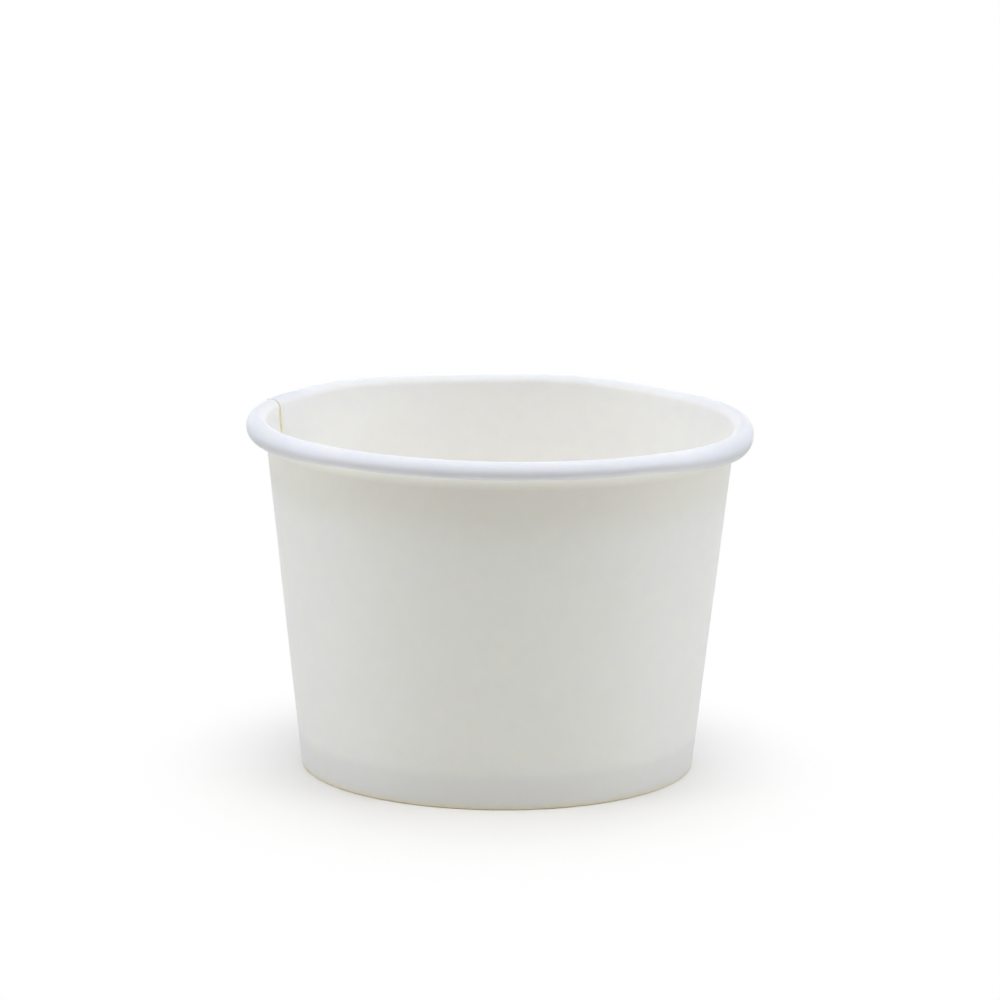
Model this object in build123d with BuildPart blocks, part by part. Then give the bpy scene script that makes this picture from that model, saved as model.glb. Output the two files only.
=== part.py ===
from build123d import *
from math import asin, atan2, cos, degrees, hypot, sin, tan
import os

os.makedirs("parts", exist_ok=True)

# Cup, in millimetres: outside sizes over the rolled rim and the folded foot
rim_diameter = 74.0
foot_diameter = 57.6
cup_height = 51.8

# Side wall: one blank of coated board, rolled out at the rim and folded in at the foot
wall_board = 0.35

# Rolled rim: a hollow roll, a little wider than it is high, with its cut edge tucked inside
roll_radius = 1.31
roll_crown = 0.38
tuck_radius = 0.75
tuck_gap = 0.15
tuck_turn = 125.0

# Foot: the blank turns in and up, round the skirt of the base, and stops short of the base
hem_gap = 0.6
fold_radius = 0.05

# Base: a board disc whose edge is turned down into a skirt
base_board = 0.30
base_recess = 5.3
base_bend_radius = 0.3
skirt_gap = 0.25

# Film of melted coating on each face of the skirt
seal_gap = 0.03

# Side seam: the blank's outer edge laps over its inner edge, then ramps back to the wall
seam_azimuth = 162.0
seam_lap = 7.0
seam_ramp = 1.5
seam_step_share = 0.6

# How far a cut runs past what it cuts
overrun = 1.0

rim_radius = rim_diameter / 2
foot_radius = foot_diameter / 2

# Bends along the middle of each board
roll_bend = roll_radius - wall_board / 2
tuck_bend = tuck_radius - wall_board / 2
fold_bend = fold_radius + wall_board / 2
base_bend = base_bend_radius + base_board / 2

# The wall's outer face runs from the foot to a tangent on the roll's first bend
roll_x = rim_radius - roll_radius - roll_crown
roll_z = cup_height - roll_radius
roll_reach = roll_x - foot_radius
lean = atan2(roll_reach, roll_z) - asin((roll_radius - wall_board) / hypot(roll_reach, roll_z))

# Depths from that face to the middle of each ply at the foot
wall_depth = wall_board / 2
skirt_depth = wall_board + seal_gap + base_board / 2
hem_depth = 2 * (wall_board + seal_gap) + base_board - wall_depth

roll_underside = cup_height - 2 * roll_radius
floor_height = base_recess + base_board

mean_radius = (rim_radius + foot_radius) / 2
lap_angle = degrees(seam_lap / mean_radius)
ramp_angle = degrees(seam_ramp / mean_radius)
overrun_angle = degrees(overrun / mean_radius)


def wall_point(depth, height):
    """Point at a height, on the line that lies a depth inside the wall's outer face."""
    return (foot_radius + height * tan(lean) - depth / cos(lean), height)


def wall_strip(depths, heights):
    """Outline of a strip along the wall, between two depths and two heights."""
    corners = [wall_point(depths[0], height) for height in heights]
    corners += [wall_point(depths[1], height) for height in reversed(heights)]
    return Polyline(corners, close=True)


def seam_point(azimuth, depth, height):
    """The wall's point at a depth and a height, turned to an azimuth."""
    radius, height = wall_point(depth, height)
    return Vector(radius, 0, height).rotate(Axis.Z, azimuth)


def ramp_plane(edge_depth, end_depth):
    """Plane of the seam's ramp, from the inner ply's cut edge to where the ramp ends."""
    edge = seam_point(seam_azimuth, edge_depth, 0)
    foot = seam_point(seam_azimuth + ramp_angle, end_depth, 0)
    top = seam_point(seam_azimuth + ramp_angle, end_depth, cup_height)
    return Plane(foot, x_dir=top - foot, z_dir=(top - foot).cross(edge - foot))


# Outer ply of the seam, up to the underside of the roll
with BuildPart() as seam_ply:
    with BuildSketch(Plane.XZ.rotated((0, 0, seam_azimuth - lap_angle))):
        with BuildLine():
            wall_strip((wall_depth, -wall_board), (fold_radius + wall_board, roll_underside))
        make_face()
    revolve(axis=Axis.Z, revolution_arc=lap_angle + ramp_angle + overrun_angle)
    split(bisect_by=ramp_plane(-wall_board, 0), keep=Keep.BOTTOM)

# Hollow beside the inner ply's cut edge, from the cup's floor to the roll's first bend
with BuildPart() as seam_step:
    with BuildSketch(Plane.XZ.rotated((0, 0, seam_azimuth))):
        with BuildLine():
            wall_strip((wall_board + overrun, 0), (floor_height, roll_z))
        make_face()
    revolve(axis=Axis.Z, revolution_arc=ramp_angle + overrun_angle)
    step_depth = wall_board * (1 - seam_step_share)
    split(bisect_by=ramp_plane(step_depth, wall_board), keep=Keep.BOTTOM)

with BuildPart() as side_wall:
    with BuildSketch(Plane.XZ):
        with BuildLine():
            wall_line = FilletPolyline(
                wall_point(hem_depth, base_recess - hem_gap),
                wall_point(hem_depth, wall_board / 2),
                wall_point(wall_depth, wall_board / 2),
                (roll_x - roll_bend * cos(lean), roll_z + roll_bend * sin(lean)),
                radius=fold_bend,
            )
            first_bend = JernArc(wall_line @ 1, wall_line % 1, roll_bend, degrees(lean) - 90)
            crown = Line(first_bend @ 1, first_bend @ 1 + (roll_crown, 0))
            outer_bend = JernArc(crown @ 1, crown % 1, roll_bend, -180)
            tuck_x = wall_point(0, roll_underside + tuck_radius)[0] + tuck_gap + tuck_radius
            underside = Line(outer_bend @ 1, (tuck_x, roll_underside + wall_board / 2))
            JernArc(underside @ 1, underside % 1, tuck_bend, -tuck_turn)
        trace(line_width=wall_board)
    revolve(axis=Axis.Z)
    add(seam_ply.part)
    add(seam_step.part, mode=Mode.SUBTRACT)

side_wall.part.label = "side_wall"
export_step(side_wall.part, "parts/side_wall.step")

with BuildPart() as base_disc:
    with BuildSketch(Plane.XZ):
        with BuildLine():
            FilletPolyline(
                (0, base_recess + base_board / 2),
                wall_point(skirt_depth, base_recess + base_board / 2),
                wall_point(skirt_depth, wall_board + skirt_gap),
                radius=base_bend,
            )
        trace(line_width=base_board)
    revolve(axis=Axis.Z)

base_disc.part.label = "base_disc"
export_step(base_disc.part, "parts/base_disc.step")
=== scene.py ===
from math import asin, atan2, cos, hypot, pi, radians, sin, tan

import bpy
from mathutils import Matrix, Vector


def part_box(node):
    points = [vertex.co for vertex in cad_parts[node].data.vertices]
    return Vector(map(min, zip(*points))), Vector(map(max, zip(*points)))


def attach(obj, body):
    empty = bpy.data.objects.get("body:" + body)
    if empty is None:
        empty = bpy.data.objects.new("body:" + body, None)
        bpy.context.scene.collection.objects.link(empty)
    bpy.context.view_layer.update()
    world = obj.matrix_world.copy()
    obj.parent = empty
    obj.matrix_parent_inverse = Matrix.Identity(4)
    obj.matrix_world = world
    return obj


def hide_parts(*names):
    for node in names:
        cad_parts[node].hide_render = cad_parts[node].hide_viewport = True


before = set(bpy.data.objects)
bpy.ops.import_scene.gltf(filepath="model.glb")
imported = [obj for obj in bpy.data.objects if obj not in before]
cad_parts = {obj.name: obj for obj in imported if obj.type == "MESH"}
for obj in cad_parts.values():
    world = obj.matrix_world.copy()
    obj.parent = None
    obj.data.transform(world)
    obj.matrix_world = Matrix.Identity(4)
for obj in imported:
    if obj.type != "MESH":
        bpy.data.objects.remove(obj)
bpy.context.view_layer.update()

mm = 0.001
cupLow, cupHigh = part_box("side_wall")
baseLow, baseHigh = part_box("base_disc")
rimRadius = (cupHigh.x - cupLow.x) / 2
cupHeight = cupHigh.z
cupFloor = baseHigh.z


# Node helpers

def put(tree, kind, inputs=None, **settings):  # adds a node, with its links and values
    node = tree.nodes.new(kind)
    for name, value in settings.items():
        setattr(node, name, value)
    for key, value in (inputs or {}).items():
        if isinstance(value, bpy.types.NodeSocket):
            tree.links.new(value, node.inputs[key])
        else:
            node.inputs[key].default_value = value
    return node


def calc(tree, operation, first, second=0.0, third=0.0):  # one maths node
    return put(tree, "ShaderNodeMath", {0: first, 1: second, 2: third}, operation=operation).outputs[0]


def ease(tree, value, start, endShade, low=0.0, high=1.0):  # a smooth step between two values
    ends = {"Value": value, "From Min": start, "From Max": endShade, "To Min": low, "To Max": high}
    return put(tree, "ShaderNodeMapRange", ends, interpolation_type="SMOOTHSTEP").outputs["Result"]


def sockets(tree, direction, table):  # named sockets of a node group, with their starting values
    for name, (kind, value) in table.items():
        socket = tree.interface.new_socket(name=name, in_out=direction, socket_type=kind)
        if value is not None:
            socket.default_value = value


# Finishes

boardFinish = {
    "coated": (0.942, 0.941, 0.929, 1.0),   # inner face
    "matt": (0.827, 0.832, 0.804, 1.0),     # outer face
    "rim": (0.865, 0.896, 0.983, 1.0),      # painted sheen: the coating over the roll tinted bluish white for the cool light it reflects
    "crownPaintedShade": (0.985, 0.987, 1.0, 1.0),  # painted shade on the roll's top, where the light from above falls most
    "shade": 0.988,                         # tone where the fibres lie thin
    "mottleScale": 420.0,
    "fibreScale": 1400.0,
    "bump": 0.10,
    "bumpDepth": 0.03 * mm,
    "waveScale": 120.0,                     # slow waves in the roll's surface
    "wave": 0.5,
    "waveDepth": 0.25 * mm,
    "mattRoughness": 0.62,
    "coatRoughness": 0.42,
    "roughnessSpread": 0.06,                # rougher where the tone is light
    "specular": 0.04,
    "glow": 0.32,                           # share of the light that goes through the board
    "glowDepth": 0.40 * mm,
    "glowTint": (1.0, 0.93, 0.62),
    "foldColour": (0.79, 0.73, 0.575, 1.0),  # brownish along the foot's fold, strongest at the very bottom
    "foldHeight": 1.10 * mm,
    "bandPaintedShade": (0.951, 0.945, 0.947, 1.0),  # painted shade on the foot, where the skirt and the hem back the wall and no light shows through
    "bandShadeHeights": (4.1 * mm, 5.9 * mm),
    "rollUnderPaintedShade": (0.81, 0.795, 0.74, 1.0),   # painted shade on the roll's underside
    "endPaintedShade": (0.885, 0.888, 0.872, 1.0),  # painted shade on the roll at the left and the right, where it is also drawn out taller
    "endShadeReach": (25.0 * mm, 36.0 * mm),
    "neckPaintedShade": (0.96, 0.94, 0.90, 1.0),    # painted shade on the outer face below the roll, deepest just under it
    "neckShadeHeights": (38.0 * mm, 46.5 * mm),
    "paintedGlowColour": (0.97, 0.96, 0.89, 1.0),  # painted glow: a pale line on the single ply just below the roll
}

baseFinish = {
    "coated": (0.86, 0.86, 0.845, 1.0),     # cup's floor
}

cutEdgeFinish = {
    "colour": (0.96, 0.89, 0.67, 1.0),
    "shade": (0.90, 0.82, 0.58, 1.0),
    "pale": (0.95, 0.95, 0.93, 1.0),
    "paleRadii": (34.5 * mm, 35.3 * mm),    # where the edge is pressed flat over the rim
    "mottleScale": 260.0,
    "fibreScale": 5200.0,
    "roughness": 0.85,
}

fibreLook = {
    "mottleDetail": 3.0,
    "mottleRoughness": 0.55,
    "mottleRange": (0.32, 0.68),
    "fibreDetail": 2.0,
    "fibreDistortion": 1.2,
    "mottleRelief": 0.6,                    # how much the mottle adds to the fibres' relief
}


def makeFibreGroup(look):  # mottled tone and fibre relief of uncoated or coated board
    group = bpy.data.node_groups.new("boardFibre", "ShaderNodeTree")
    sockets(group, "INPUT", {
        "Place": ("NodeSocketVector", None),
        "Mottle Scale": ("NodeSocketFloat", 260.0),
        "Fibre Scale": ("NodeSocketFloat", 1400.0),
    })
    sockets(group, "OUTPUT", {
        "Mottle": ("NodeSocketFloat", None),
        "Relief": ("NodeSocketFloat", None),
    })
    given = put(group, "NodeGroupInput").outputs
    cloud = put(group, "ShaderNodeTexNoise", {
        "Vector": given["Place"],
        "Scale": given["Mottle Scale"],
        "Detail": look["mottleDetail"],
        "Roughness": look["mottleRoughness"],
    }).outputs["Fac"]
    fibre = put(group, "ShaderNodeTexNoise", {
        "Vector": given["Place"],
        "Scale": given["Fibre Scale"],
        "Detail": look["fibreDetail"],
        "Distortion": look["fibreDistortion"],
    }).outputs["Fac"]
    mottle = ease(group, cloud, *look["mottleRange"])
    relief = calc(group, "MULTIPLY_ADD", cloud, look["mottleRelief"], fibre)
    put(group, "NodeGroupOutput", {"Mottle": mottle, "Relief": relief})
    return group


fibreGroup = makeFibreGroup(fibreLook)


def placeFibre(tree, place, finish):  # the fibre group in a material, with that finish's scales
    return put(tree, "ShaderNodeGroup", {
        "Place": place,
        "Mottle Scale": finish["mottleScale"],
        "Fibre Scale": finish["fibreScale"],
    }, node_tree=fibreGroup).outputs


def newMaterial(name):
    material = bpy.data.materials.new(name)
    material.use_nodes = True
    material.node_tree.nodes.clear()
    return material, material.node_tree


def blend(tree, share, tone, colour, way="MIX"):  # goes over to a colour, or is tinted by it
    parts = {0: share, 6: tone, 7: colour}
    return put(tree, "ShaderNodeMix", parts, data_type="RGBA", blend_type=way).outputs[2]


def makeBoard(name, finish, isWall):  # white board: matt outside, coated where the coat attribute is 1
    material, tree = newMaterial(name)
    place = put(tree, "ShaderNodeTexCoord").outputs["Object"]
    fibre = placeFibre(tree, place, finish)

    def mark(label):
        return put(tree, "ShaderNodeAttribute", attribute_name=label).outputs["Fac"]

    def relief(height, strength, depth):
        return put(tree, "ShaderNodeBump", {"Strength": strength, "Distance": depth, "Height": height})

    bump = relief(fibre["Relief"], finish["bump"], finish["bumpDepth"])
    coat = mark("coat")
    tone = blend(tree, coat, finish["matt"], finish["coated"])
    if isWall:
        matt = calc(tree, "SUBTRACT", 1.0, coat)
        rim = mark("rim")
        spot = put(tree, "ShaderNodeSeparateXYZ", {0: place}).outputs
        height = spot["Z"]
        across = calc(tree, "ABSOLUTE", spot["X"])
        bandShade = ease(tree, height, finish["bandShadeHeights"][1], finish["bandShadeHeights"][0])
        neckShade = ease(tree, height, *finish["neckShadeHeights"])
        endShade = ease(tree, across, *finish["endShadeReach"])
        fold = ease(tree, height, finish["foldHeight"], 0.0)
        # painted shade on the foot's band, where no light shows through the wall
        tone = blend(tree, calc(tree, "MULTIPLY", bandShade, matt), tone, finish["bandPaintedShade"], "MULTIPLY")
        # painted shade on the outer face below the roll
        tone = blend(tree, calc(tree, "MULTIPLY", neckShade, matt), tone, finish["neckPaintedShade"], "MULTIPLY")
        # painted glow in a pale line just below the roll
        tone = blend(tree, calc(tree, "MULTIPLY", mark("line"), matt), tone, finish["paintedGlowColour"])
        # painted sheen: the roll's coated face bluish white
        tone = blend(tree, calc(tree, "MULTIPLY", rim, coat), tone, finish["rim"])
        # painted shade on the roll at the left and the right
        tone = blend(tree, calc(tree, "MULTIPLY", endShade, rim), tone, finish["endPaintedShade"], "MULTIPLY")
        # painted shade on the roll's top
        tone = blend(tree, mark("crown"), tone, finish["crownPaintedShade"], "MULTIPLY")
        # painted shade on the roll's underside
        tone = blend(tree, mark("under"), tone, finish["rollUnderPaintedShade"], "MULTIPLY")
        tone = blend(tree, fold, tone, finish["foldColour"])
        waves = {"Vector": place, "Scale": finish["waveScale"], "Detail": 1.0}
        wave = put(tree, "ShaderNodeTexNoise", waves).outputs["Fac"]
        wave = calc(tree, "MULTIPLY", wave, rim)
        wave = relief(wave, finish["wave"], finish["waveDepth"])
        tree.links.new(wave.outputs["Normal"], bump.inputs["Normal"])
    thin = put(tree, "ShaderNodeMix", {0: fibre["Mottle"], 2: finish["shade"], 3: 1.0}).outputs[0]
    tone = put(tree, "ShaderNodeVectorMath", {0: tone, "Scale": thin}, operation="SCALE").outputs[0]
    gloss = put(tree, "ShaderNodeMix", {0: coat, 2: finish["mattRoughness"], 3: finish["coatRoughness"]})
    roughness = calc(tree, "MULTIPLY_ADD", fibre["Mottle"], finish["roughnessSpread"], gloss.outputs[0])
    surface = put(tree, "ShaderNodeBsdfPrincipled", {
        "Base Color": tone,
        "Roughness": roughness,
        "Specular IOR Level": finish["specular"],
        "Normal": bump.outputs["Normal"],
        "Subsurface Weight": finish["glow"],
        "Subsurface Scale": finish["glowDepth"],
        "Subsurface Radius": finish["glowTint"],
    })
    put(tree, "ShaderNodeOutputMaterial", {"Surface": surface.outputs["BSDF"]})
    return material


def makeCutEdge(name, finish):  # raw brownish core of the board where it was cut
    material, tree = newMaterial(name)
    place = put(tree, "ShaderNodeTexCoord").outputs["Object"]
    fibre = placeFibre(tree, place, finish)
    tone = blend(tree, fibre["Mottle"], finish["shade"], finish["colour"])
    flat = put(tree, "ShaderNodeVectorMath", {0: place, 1: (1, 1, 0)}, operation="MULTIPLY").outputs[0]
    reach = put(tree, "ShaderNodeVectorMath", {0: flat}, operation="LENGTH").outputs["Value"]
    tone = blend(tree, ease(tree, reach, *finish["paleRadii"]), tone, finish["pale"])
    surface = put(tree, "ShaderNodeBsdfPrincipled", {"Base Color": tone, "Roughness": finish["roughness"]})
    put(tree, "ShaderNodeOutputMaterial", {"Surface": surface.outputs["BSDF"]})
    return material


wallBoard = makeBoard("wallBoard", boardFinish, isWall=True)
baseBoard = makeBoard("baseBoard", {**boardFinish, **baseFinish}, isWall=False)
cutEdge = makeCutEdge("cutEdge", cutEdgeFinish)
print("finishes made")


# Board sections: a mid-line drawn as runs and bends, with a face on each side

def run(length, steps, **marks):
    return {"chord": length / steps, "turn": 0.0, "steps": steps, "marks": marks}


def bend(radius, angle, steps, **marks):  # to the left for a positive angle
    turn = angle / steps
    return {"chord": 2 * radius * sin(abs(turn) / 2), "turn": turn, "steps": steps, "marks": marks}


def marksAt(stroke, share):  # a pair of values is a mark that changes along its stroke
    return {label: value[0] + (value[1] - value[0]) * share if isinstance(value, tuple) else value
            for label, value in stroke["marks"].items()}


def drawLine(start, heading, strokes):  # points of the mid-line, with heading and marks
    x, z = start
    points = [(x, z, heading, marksAt(strokes[0], 0.0))]
    for stroke in strokes:
        for step in range(stroke["steps"]):
            heading += stroke["turn"] / 2
            x += stroke["chord"] * cos(heading)
            z += stroke["chord"] * sin(heading)
            heading += stroke["turn"] / 2
            points.append((x, z, heading, marksAt(stroke, (step + 1) / stroke["steps"])))
    return points


def sectionMesh(name, line, board):  # closed outline of the board, coated face first, then the matt face
    corners = []
    for side, walk in ((1, line), (-1, line[::-1])):
        for x, z, heading, marks in walk:
            reach = side * board / 2
            spot = (x - sin(heading) * reach, 0.0, z + cos(heading) * reach)
            corners.append((spot, (-sin(heading), cos(heading), 0.0), side, marks))
    mesh = bpy.data.meshes.new(name)
    count = len(corners)
    mesh.from_pydata([c[0] for c in corners], [(i, (i + 1) % count) for i in range(count)], [])
    facing = mesh.attributes.new("facing", "FLOAT_VECTOR", "POINT")
    facing.data.foreach_set("vector", [v for c in corners for v in c[1]])
    last = len(line) - 1
    ends = (0, last, last + 1, count - 1)
    # the under mark carries the painted shade on the roll's underside, the line mark the painted glow
    # below the roll
    labels = ("press", "rim", "crown", "under", "line")
    values = {label: [c[3].get(label, 0.0) for c in corners] for label in labels}
    values["coat"] = [float(c[2] > 0) for c in corners]
    values["rib"] = [c[3].get("rib", 0.0) * (c[2] < 0) for c in corners]
    values["cut"] = [float(i in ends) for i in range(count)]
    for label, numbers in values.items():
        mesh.attributes.new(label, "FLOAT", "POINT").data.foreach_set("value", numbers)
    return mesh


# Tree that turns a section round the cup's axis, with the seam's lap

def makeTurnTree():
    tree = bpy.data.node_groups.new("turnedBoard", "GeometryNodeTree")
    tree.is_modifier = True
    sockets(tree, "INPUT", {
        "Section": ("NodeSocketGeometry", None),
        "Columns": ("NodeSocketInt", 360),
        "Start": ("NodeSocketFloat", 0.0),
        "Lap": ("NodeSocketFloat", 0.0),
        "Ramp": ("NodeSocketFloat", 0.05),
        "Board": ("NodeSocketFloat", 0.35 * mm),
        "Seal": ("NodeSocketFloat", 0.02 * mm),
        "Ply Share": ("NodeSocketFloat", 0.47),
        "Crown Share": ("NodeSocketFloat", 0.10),
        "Ripple Height": ("NodeSocketFloat", 0.0),
        "Ripple Count": ("NodeSocketFloat", 6.0),
        "Ripple Start": ("NodeSocketFloat", 0.0),
        "Ripple Start Sine": ("NodeSocketFloat", 0.2),
        "Ripple Full Sine": ("NodeSocketFloat", 0.75),
        "Tilt Height": ("NodeSocketFloat", 0.0),
        "Front Sag": ("NodeSocketFloat", 0.0),
        "Right Sag": ("NodeSocketFloat", 0.0),
        "Sag Start Sine": ("NodeSocketFloat", 0.15),
        "Sag Full Sine": ("NodeSocketFloat", -0.35),
        "Roll Growth": ("NodeSocketFloat", 0.0),
        "Right Growth": ("NodeSocketFloat", 0.0),
        "Left Growth": ("NodeSocketFloat", 0.0),
        "Growth Start Cosine": ("NodeSocketFloat", 0.55),
        "Growth Full Cosine": ("NodeSocketFloat", 1.0),
        "Roll Top": ("NodeSocketFloat", 1.0),
        "Uneven From": ("NodeSocketFloat", 0.0),
        "Uneven To": ("NodeSocketFloat", 1.0),
        "Rib Count": ("NodeSocketFloat", 0.0),
        "Rib Depth": ("NodeSocketFloat", 0.0),
        "Weld": ("NodeSocketFloat", 0.001 * mm),
        "Sharp Angle": ("NodeSocketFloat", radians(38)),
        "Whole Face": ("NodeSocketFloat", 0.99),  # a mark's mean, where all of a face's corners have it
        "Face": ("NodeSocketMaterial", None),
        "Edge": ("NodeSocketMaterial", None),
    })
    sockets(tree, "OUTPUT", {"Board": ("NodeSocketGeometry", None)})
    given = put(tree, "NodeGroupInput").outputs

    def keep(geometry, name, value, kind="FLOAT"):
        return put(tree, "GeometryNodeStoreNamedAttribute",
                   {"Geometry": geometry, "Name": name, "Value": value}, data_type=kind).outputs[0]

    def recall(name, kind="FLOAT"):
        return put(tree, "GeometryNodeInputNamedAttribute", {"Name": name}, data_type=kind).outputs[0]

    def over(value, limit, kind="FLOAT"):
        first = 2 if kind == "INT" else 0  # the node has a pair of inputs for each kind
        return put(tree, "FunctionNodeCompare",
                   {first: value, first + 1: limit}, data_type=kind, operation="GREATER_THAN").outputs[0]

    # Path: one full turn and the lap, as a row of azimuths
    line = put(tree, "GeometryNodeCurvePrimitiveLine").outputs["Curve"]
    row = put(tree, "GeometryNodeResampleCurve", {"Curve": line, "Count": given["Columns"]}, mode="COUNT")
    along = put(tree, "GeometryNodeSplineParameter").outputs["Factor"]
    sweep = calc(tree, "ADD", given["Lap"], 2 * pi)
    turned = calc(tree, "MULTIPLY", along, sweep)
    path = keep(row.outputs["Curve"], "turned", turned)

    # Section: its place is kept as numbers, so that the sweep only has to join the points up
    spot = put(tree, "ShaderNodeSeparateXYZ", {0: put(tree, "GeometryNodeInputPosition").outputs[0]})
    outline = keep(given["Section"], "reach", spot.outputs["X"])
    outline = keep(outline, "rise", spot.outputs["Z"])
    profile = put(tree, "GeometryNodeMeshToCurve", {"Mesh": outline}).outputs["Curve"]
    lapped = over(given["Lap"], 0.0)
    swept = put(tree, "GeometryNodeCurveToMesh",
                {"Curve": path, "Profile Curve": profile, "Fill Caps": lapped}).outputs["Mesh"]

    # Lap: the outer ply lies a board's thickness behind the inner one, and both are thinned where pressed
    turned = recall("turned")
    press = recall("press")
    coat = recall("coat")
    rampEnd = calc(tree, "ADD", given["Lap"], given["Ramp"])
    outer = ease(tree, turned, given["Lap"], rampEnd, 1.0, 0.0)
    outer = calc(tree, "MULTIPLY", outer, lapped)
    innerStart = calc(tree, "SUBTRACT", 2 * pi, given["Ramp"])
    inner = ease(tree, turned, innerStart, 2 * pi)
    inner = calc(tree, "MULTIPLY", inner, lapped)
    thinning = calc(tree, "SUBTRACT", given["Crown Share"], given["Ply Share"])
    ply = calc(tree, "MULTIPLY_ADD", recall("crown"), thinning, given["Ply Share"])
    loose = calc(tree, "SUBTRACT", 1.0, press)
    matt = calc(tree, "SUBTRACT", 1.0, coat)
    seal = calc(tree, "DIVIDE", given["Seal"], given["Board"])
    innerUp = calc(tree, "MULTIPLY", calc(tree, "MULTIPLY", matt, press), calc(tree, "SUBTRACT", 1.0, ply))
    outerDown = calc(tree, "MULTIPLY", calc(tree, "MULTIPLY", coat, press), calc(tree, "ADD", ply, seal))
    outerDown = calc(tree, "MULTIPLY_ADD", loose, calc(tree, "ADD", 1.0, seal), outerDown)
    innerUp = calc(tree, "MULTIPLY", inner, innerUp)
    outerDown = calc(tree, "MULTIPLY", outer, outerDown)
    shift = calc(tree, "MULTIPLY", calc(tree, "SUBTRACT", innerUp, outerDown), given["Board"])
    facing = put(tree, "ShaderNodeSeparateXYZ", {0: recall("facing", "FLOAT_VECTOR")})
    radius = calc(tree, "MULTIPLY_ADD", facing.outputs["X"], shift, recall("reach"))
    height = calc(tree, "MULTIPLY_ADD", facing.outputs["Y"], shift, recall("rise"))

    # Ribs pressed into the hem
    azimuth = calc(tree, "ADD", turned, given["Start"])
    tooth = calc(tree, "COSINE", calc(tree, "MULTIPLY", azimuth, given["Rib Count"]))
    tooth = calc(tree, "MULTIPLY", calc(tree, "MULTIPLY", tooth, given["Rib Depth"]), recall("rib"))
    radius = calc(tree, "ADD", radius, tooth)

    # Roll's unevenness: it hangs lower at the right and at the left than before and behind
    across = calc(tree, "COSINE", azimuth)
    inward = calc(tree, "SINE", azimuth)
    starts = given["Growth Start Cosine"], given["Growth Full Cosine"]
    right = ease(tree, across, *starts)
    left = ease(tree, calc(tree, "MULTIPLY", across, -1.0), *starts)
    growth = calc(tree, "MULTIPLY_ADD", right, given["Right Growth"], given["Roll Growth"])
    growth = calc(tree, "MULTIPLY_ADD", left, given["Left Growth"], growth)
    hang = calc(tree, "MULTIPLY", calc(tree, "SUBTRACT", given["Roll Top"], height), recall("rim"))
    height = calc(tree, "SUBTRACT", height, calc(tree, "MULTIPLY", hang, growth))

    # Unevenness of the rim's height: a slow ripple behind, a slight tilt and a sag in front
    wave = calc(tree, "SUBTRACT", azimuth, given["Ripple Start"])
    wave = calc(tree, "MULTIPLY", wave, given["Ripple Count"])
    behind = ease(tree, inward, given["Ripple Start Sine"], given["Ripple Full Sine"])
    swell = calc(tree, "MULTIPLY", calc(tree, "COSINE", wave), behind)
    swell = calc(tree, "MULTIPLY", swell, given["Ripple Height"])
    slope = calc(tree, "MULTIPLY", across, given["Tilt Height"])
    before = ease(tree, inward, given["Sag Start Sine"], given["Sag Full Sine"])
    sag = calc(tree, "MULTIPLY_ADD", right, given["Right Sag"], given["Front Sag"])
    sag = calc(tree, "MULTIPLY", sag, before)
    uneven = calc(tree, "SUBTRACT", calc(tree, "SUBTRACT", swell, slope), sag)
    near = ease(tree, height, given["Uneven From"], given["Uneven To"])
    height = calc(tree, "MULTIPLY_ADD", uneven, near, height)

    # Points go to their places, doubles are welded and edges without faces deleted
    east = calc(tree, "MULTIPLY", radius, across)
    north = calc(tree, "MULTIPLY", radius, inward)
    place = put(tree, "ShaderNodeCombineXYZ", {0: east, 1: north, 2: height}).outputs[0]
    shaped = put(tree, "GeometryNodeSetPosition", {"Geometry": swept, "Position": place}).outputs[0]
    shaped = put(tree, "GeometryNodeMergeByDistance",
                 {"Geometry": shaped, "Distance": given["Weld"]}).outputs[0]
    bare = put(tree, "GeometryNodeInputMeshEdgeNeighbors").outputs["Face Count"]
    bare = put(tree, "FunctionNodeCompare", {2: bare, 3: 0}, data_type="INT", operation="EQUAL").outputs[0]
    shaped = put(tree, "GeometryNodeDeleteGeometry",
                 {"Geometry": shaped, "Selection": bare}, domain="EDGE").outputs[0]

    # Sharp edges, then the finishes: raw edge on the end caps and along the board's cut edges
    fold = put(tree, "GeometryNodeInputMeshEdgeAngle").outputs["Unsigned Angle"]
    sharp = over(fold, given["Sharp Angle"])
    shaped = put(tree, "GeometryNodeSetShadeSmooth",
                 {"Geometry": shaped, "Selection": sharp, "Shade Smooth": False}, domain="EDGE").outputs[0]
    cap = put(tree, "GeometryNodeInputMeshFaceNeighbors").outputs["Vertex Count"]
    cap = over(cap, 4, "INT")
    edge = put(tree, "GeometryNodeFieldOnDomain",
               {0: recall("cut")}, domain="FACE", data_type="FLOAT").outputs[0]
    edge = over(edge, given["Whole Face"])
    raw = put(tree, "FunctionNodeBooleanMath", {0: cap, 1: edge}, operation="OR").outputs[0]
    whole = put(tree, "GeometryNodeRealizeInstances", {"Geometry": shaped}).outputs[0]
    faced = put(tree, "GeometryNodeSetMaterial", {"Geometry": whole, "Material": given["Face"]}).outputs[0]
    edged = put(tree, "GeometryNodeSetMaterial",
                {"Geometry": faced, "Selection": raw, "Material": given["Edge"]}).outputs[0]
    put(tree, "NodeGroupOutput", {0: edged})
    return tree


turnTree = makeTurnTree()


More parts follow.
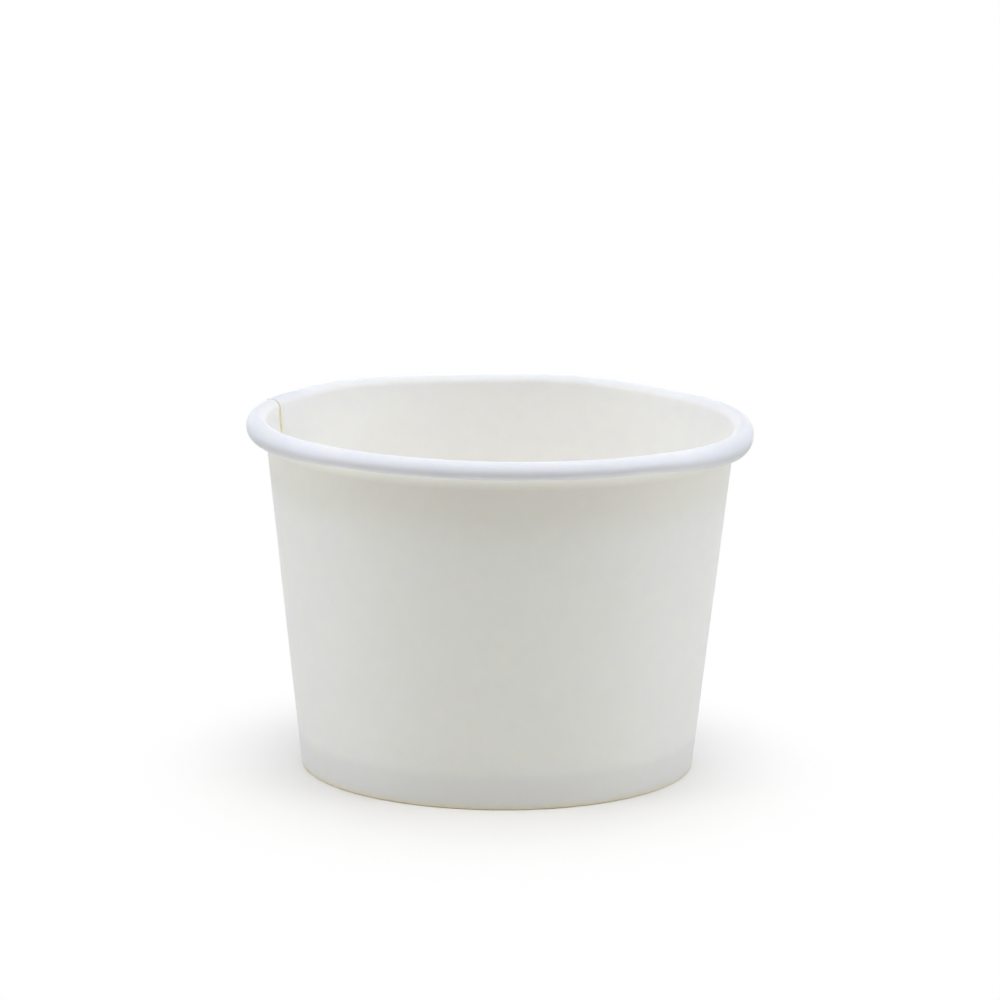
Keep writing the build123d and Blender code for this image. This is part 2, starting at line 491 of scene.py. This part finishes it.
def turnBoard(name, section, values):  # runs the tree and keeps its result as a plain mesh
    maker = bpy.data.objects.new(name + "Maker", section)
    bpy.context.scene.collection.objects.link(maker)
    modifier = maker.modifiers.new("turnedBoard", "NODES")
    modifier.node_group = turnTree
    for item in turnTree.interface.items_tree:
        if item.in_out == "INPUT" and item.name in values:
            modifier[item.identifier] = values[item.name]
    ready = maker.evaluated_get(bpy.context.evaluated_depsgraph_get())
    mesh = bpy.data.meshes.new_from_object(ready)
    mesh.name = name
    bpy.data.objects.remove(maker)
    piece = bpy.data.objects.new(name, mesh)
    bpy.context.scene.collection.objects.link(piece)
    print(name, "has", len(mesh.vertices), "points and", len(mesh.polygons), "faces")
    return piece


# Side wall

sideWall = {
    "footRadius": 28.8 * mm,
    "board": 0.35 * mm,
    "rollRadius": 1.31 * mm,
    "rollCrown": 0.38 * mm,
    "tuckRadius": 0.75 * mm,
    "tuckGap": 0.15 * mm,
    "tuckTurn": 125,
    "hemTop": 4.7 * mm,
    "hemPlain": 0.5 * mm,         # without ribs, at the hem's edge and above the fold
    "foldRadius": 0.05 * mm,
    "skirtSpace": 0.36 * mm,      # base board and its two seals, between the wall and the hem
    "seamAzimuth": 162.6,
    "seamLap": 12.2,
    "seamRamp": 2.6,
    "seal": 0.02 * mm,
    "plyShare": 0.47,             # inner ply's share of the board where the lap is pressed
    "crownShare": 0.10,           # the same over the rim's crown
    "pressFade": 3.0 * mm,
    "rollPress": 0.75,
    "crownTurn": 40,              # roll's bend from the crown outwards
    "underBendsAndShade": (               # then its bends, steps and how dark the painted shade is where each ends
        (38, 4, 0.1),
        (32, 4, 1.0),
        (70, 7, 0.5),
    ),
    "paintedGlowRun": 1.3 * mm,          # length over which the painted glow grows below the roll
    "neckRun": 1.9 * mm,          # length of the wall behind the roll
    "ribCount": 96,
    "ribDepth": 0.05 * mm,
    "rippleHeight": 0.188 * mm,
    "rippleCount": 6,
    "rippleStart": 71.3,
    "tiltHeight": 0.267 * mm,     # how far the rim stands above its mean on the left
    "frontSag": 0.12 * mm,        # how far the rim sinks in front, and further at the right
    "rightSag": 0.27 * mm,
    "rollGrowth": -0.03,          # how much taller the roll is drawn out: all round, right and left
    "rightGrowth": 0.40,
    "leftGrowth": 0.27,
    "unevenFrom": 0.3,            # share of the height where the rim's unevenness starts
    "columns": 480,
}


def rollMiddle(size):  # middle of the roll's first bend
    return rimRadius - size["rollRadius"] - size["rollCrown"], cupHeight - size["rollRadius"]


def wallLean(size):  # the wall's outer face runs from the foot to a tangent on the roll's first bend
    rollX, rollZ = rollMiddle(size)
    reach = rollX - size["footRadius"]
    return atan2(reach, rollZ) - asin((size["rollRadius"] - size["board"]) / hypot(reach, rollZ))


def wallX(size, depth, height):  # radius at a depth inside the wall's outer face
    lean = wallLean(size)
    return size["footRadius"] + height * tan(lean) - depth / cos(lean)


def wallSection(size):
    board = size["board"]
    half = board / 2
    rollX, rollZ = rollMiddle(size)
    lean = wallLean(size)
    rollBend = size["rollRadius"] - half
    tuckBend = size["tuckRadius"] - half
    foldBend = size["foldRadius"] + half
    hemDepth = board + size["skirtSpace"] + half  # from the wall's outer face to the hem's middle
    hemTangent = foldBend * tan((pi / 2 + lean) / 2)
    wallTangent = foldBend * tan((pi / 2 - lean) / 2)
    hemRun = (size["hemTop"] - half) / cos(lean) - hemTangent
    foot = wallX(size, half, half)
    footRun = foot - wallX(size, hemDepth, half) - hemTangent - wallTangent
    wallTop = (rollX - rollBend * cos(lean), rollZ + rollBend * sin(lean))
    wallRun = hypot(wallTop[0] - foot, wallTop[1] - half) - wallTangent
    underZ = cupHeight - 2 * size["rollRadius"]
    tuckX = wallX(size, 0.0, underZ + size["tuckRadius"]) + size["tuckGap"] + size["tuckRadius"]
    underRun = rollX + size["rollCrown"] - tuckX
    fadeRun = size["pressFade"]
    squeeze = size["rollPress"]
    strokes = [
        run(size["hemPlain"], 1, press=1.0),
        run(hemRun - 2 * size["hemPlain"], 5, press=1.0, rib=1.0),
        run(size["hemPlain"], 1, press=1.0),
        bend(foldBend, pi / 2 + lean, 7, press=1.0),
        run(footRun, 1, press=1.0),
        bend(foldBend, pi / 2 - lean, 7, press=1.0),
        run(fadeRun, 2, press=0.5),
        run(wallRun - fadeRun - size["paintedGlowRun"] - size["neckRun"], 15),
        # the line mark ramps up the painted glow on the wall below the roll
        run(size["paintedGlowRun"], 4, line=(0.0, 1.0)),
        run(size["neckRun"], 2, line=1.0, press=(0.0, squeeze)),
        bend(rollBend, lean - pi / 2, 10, press=(squeeze, 1.0), rim=(0.0, 1.0), crown=(0.0, 1.0)),
        run(size["rollCrown"], 1, press=1.0, rim=1.0, crown=1.0),
        bend(rollBend, -radians(size["crownTurn"]), 5, press=(1.0, squeeze), rim=1.0, crown=(1.0, 0.0)),
    ]
    # painted shade on the roll's underside grows along its outer bends and stays on the tuck
    underShade = 0.0
    for angle, steps, endShade in size["underBendsAndShade"]:
        strokes.append(bend(rollBend, -radians(angle), steps, press=squeeze, rim=1.0, under=(underShade, endShade)))
        underShade = endShade
    strokes.append(run(underRun, 1, press=squeeze, rim=1.0, under=underShade))
    strokes.append(bend(tuckBend, -radians(size["tuckTurn"]), 12, press=squeeze, rim=1.0, under=underShade))
    line = drawLine((wallX(size, hemDepth, size["hemTop"]), size["hemTop"]), -pi / 2 - lean, strokes)
    return sectionMesh("wallSection", line, board)


wallPiece = turnBoard("side_wall_sheet", wallSection(sideWall), {
    "Columns": sideWall["columns"],
    "Start": radians(sideWall["seamAzimuth"] - sideWall["seamLap"]),
    "Lap": radians(sideWall["seamLap"]),
    "Ramp": radians(sideWall["seamRamp"]),
    "Board": sideWall["board"],
    "Seal": sideWall["seal"],
    "Ply Share": sideWall["plyShare"],
    "Crown Share": sideWall["crownShare"],
    "Ripple Height": sideWall["rippleHeight"],
    "Ripple Count": float(sideWall["rippleCount"]),
    "Ripple Start": radians(sideWall["rippleStart"]),
    "Tilt Height": sideWall["tiltHeight"],
    "Front Sag": sideWall["frontSag"],
    "Right Sag": sideWall["rightSag"],
    "Roll Growth": sideWall["rollGrowth"],
    "Right Growth": sideWall["rightGrowth"],
    "Left Growth": sideWall["leftGrowth"],
    "Roll Top": cupHeight,
    "Uneven From": cupHeight * sideWall["unevenFrom"],
    "Uneven To": cupHeight - 4 * sideWall["rollRadius"],
    "Rib Count": float(sideWall["ribCount"]),
    "Rib Depth": sideWall["ribDepth"],
    "Face": wallBoard,
    "Edge": cutEdge,
})
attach(wallPiece, "root")
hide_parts("side_wall")


# Base disc

baseDisc = {
    "board": 0.30 * mm,
    "bendRadius": 0.30 * mm,
    "sealGap": 0.03 * mm,         # film of coating between the skirt and the wall
    "columns": 240,
}


def baseSection(size, wall):
    half = size["board"] / 2
    lean = wallLean(wall)
    middle = cupFloor - half
    skirtDepth = wall["board"] + size["sealGap"] + half  # from the wall's outer face to the skirt's middle
    edgeBend = size["bendRadius"] + half
    tangent = edgeBend * tan((pi / 2 + lean) / 2)
    strokes = [
        run(wallX(wall, skirtDepth, middle) - tangent, 24),
        bend(edgeBend, -(pi / 2 + lean), 8),
        run((middle - baseLow.z) / cos(lean) - tangent, 3),
    ]
    line = drawLine((0.0, middle), 0.0, strokes)
    return sectionMesh("baseSection", line, size["board"])


basePiece = turnBoard("base_disc_sheet", baseSection(baseDisc, sideWall), {
    "Columns": baseDisc["columns"],
    "Board": baseDisc["board"],
    "Face": baseBoard,
    "Edge": cutEdge,
})
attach(basePiece, "root")
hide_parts("base_disc")
print("cup made")


def seenRay(tree):  # 1 for what the camera sees, by itself, in a sheen or through something clear
    ray = put(tree, "ShaderNodeLightPath").outputs
    other = calc(tree, "MAXIMUM", ray["Is Glossy Ray"], ray["Is Transmission Ray"])
    return calc(tree, "MAXIMUM", ray["Is Camera Ray"], other)


# Floor: white, keeps the cup's shadow and fades into the white background

studioFloor = {
    "radius": 3.0,
    "hole": 28.3 * mm,                      # under the cup's foot, for the light from below
    "sides": 96,
    "colour": (0.88, 0.88, 0.88, 1.0),
    "fadeCentre": (-1.4 * mm, -5.9 * mm, 0.0),
    "fadeShape": (1.13, 0.94, 1.0),         # shorter beside the cup than before and behind it
    "fadeFrom": 18.8 * mm,
    "fadeTo": 61.5 * mm,
}


def makeFloor(size):
    count = size["sides"]
    turns = [2 * pi * i / count for i in range(count)]
    points = [(r * cos(a), r * sin(a), 0.0) for r in (size["hole"], size["radius"]) for a in turns]
    ring = [(count + i, count + (i + 1) % count, (i + 1) % count, i) for i in range(count)]
    mesh = bpy.data.meshes.new("studio_floor")
    mesh.from_pydata(points, [], ring)
    floor = bpy.data.objects.new("studio_floor", mesh)
    bpy.context.scene.collection.objects.link(floor)
    material, tree = newMaterial("studioFloor")
    place = put(tree, "ShaderNodeTexCoord").outputs["Object"]
    for operation, vector in (("SUBTRACT", size["fadeCentre"]), ("MULTIPLY", size["fadeShape"])):
        place = put(tree, "ShaderNodeVectorMath", {0: place, 1: vector}, operation=operation).outputs[0]
    distance = put(tree, "ShaderNodeVectorMath", {0: place}, operation="LENGTH").outputs["Value"]
    fade = ease(tree, distance, size["fadeFrom"], size["fadeTo"])
    white = calc(tree, "MULTIPLY", fade, seenRay(tree))
    lit = put(tree, "ShaderNodeBsdfDiffuse", {"Color": size["colour"]}).outputs[0]
    glow = put(tree, "ShaderNodeEmission", {"Color": (1, 1, 1, 1), "Strength": 1.0}).outputs[0]
    top = put(tree, "ShaderNodeMixShader", {0: white, 1: lit, 2: glow}).outputs[0]
    clear = put(tree, "ShaderNodeBsdfTransparent").outputs[0]
    under = put(tree, "ShaderNodeNewGeometry").outputs["Backfacing"]
    both = put(tree, "ShaderNodeMixShader", {0: under, 1: top, 2: clear}).outputs[0]
    put(tree, "ShaderNodeOutputMaterial", {"Surface": both})
    floor.data.materials.append(material)


makeFloor(studioFloor)


# Light: a warm steep box, cool ones at the sides, one behind, one on top, one in front and one below

lights = {
    "steepBox": {
        "at": (0.0, -0.30, 1.0), "size": (0.9, 0.25),
        "power": 4.55, "colour": (1.0, 0.962, 0.898),
    },
    "leftBox": {
        "at": (-0.94, 0.0, 0.32), "size": (1.1, 0.62),
        "power": 4.2, "colour": (0.915, 0.944, 1.0),
    },
    "rightBox": {
        "at": (0.94, 0.0, 0.32), "size": (1.1, 0.62),
        "power": 4.35, "colour": (0.915, 0.944, 1.0),
    },
    "backBox": {
        "at": (0.0, 0.95, 0.38), "size": (1.3, 0.6),
        "power": 4.0, "colour": (0.97, 0.972, 1.0),
        "sheen": False,  # gives no bright spot on the roll
    },
    "topBox": {
        "at": (0.0, 0.05, 1.0), "size": (1.0, 0.5),
        "power": 3.35, "colour": (1.0, 1.0, 1.0),
    },
    "underBox": {
        "at": (0.0, 0.0, -0.9), "size": (1.2, 1.2),
        "power": 5.0, "colour": (1.0, 1.0, 1.0),
    },
    "frontBox": {
        "at": (0.0, -0.75, 0.70), "size": (1.0, 0.4),
        "power": 1.5, "colour": (1.0, 1.0, 1.0),
    },
}
lightAim = Vector((0.0, 0.0, cupHeight / 2))


def aim(at, target):  # rotation that looks from one point to another
    return (Vector(target) - Vector(at)).to_track_quat("-Z", "Y")


def makeLights():
    for name, box in lights.items():
        lamp = bpy.data.lights.new(name, "AREA")
        lamp.shape = "RECTANGLE"
        lamp.size, lamp.size_y = box["size"]
        lamp.energy = box["power"]
        lamp.color = box["colour"]
        lampObject = bpy.data.objects.new(name, lamp)
        lampObject.location = box["at"]
        lampObject.visible_camera = False
        lampObject.visible_glossy = box.get("sheen", True)
        lampObject.rotation_euler = aim(box["at"], lightAim).to_euler()
        bpy.context.scene.collection.objects.link(lampObject)
    world = bpy.data.worlds.new("surround")
    world.use_nodes = True
    tree = world.node_tree
    tree.nodes.clear()
    sky = put(tree, "ShaderNodeBackground", {"Color": (1, 1, 1, 1), "Strength": seenRay(tree)})
    put(tree, "ShaderNodeOutputWorld", {"Surface": sky.outputs[0]})
    bpy.context.scene.world = world


makeLights()


# Camera, at the photograph's place

photoCamera = {
    "elevation": 11.308,
    "distance": 703.0 * mm,
    "lens": 172.91,
    "sensor": 36.0,
    "roll": 0.543,
    "target": (0.105 * mm, 0.0, 39.24 * mm),
}


def makeCamera(view):
    camera = bpy.data.cameras.new("photoCamera")
    camera.sensor_width = view["sensor"]
    camera.sensor_fit = "HORIZONTAL"
    camera.lens = view["lens"]
    cameraObject = bpy.data.objects.new("photoCamera", camera)
    rise = radians(view["elevation"])
    target = Vector(view["target"])
    place = target + view["distance"] * Vector((0.0, -cos(rise), sin(rise)))
    turn = aim(place, target).to_matrix().to_4x4() @ Matrix.Rotation(radians(view["roll"]), 4, "Z")
    cameraObject.matrix_world = Matrix.Translation(place) @ turn
    bpy.context.scene.collection.objects.link(cameraObject)
    bpy.context.scene.camera = cameraObject


makeCamera(photoCamera)
bpy.context.scene.view_settings.view_transform = "Standard"
bpy.context.scene.cycles.diffuse_bounces = 8  # light goes to and fro inside a white cup
print("stage, light and camera made")
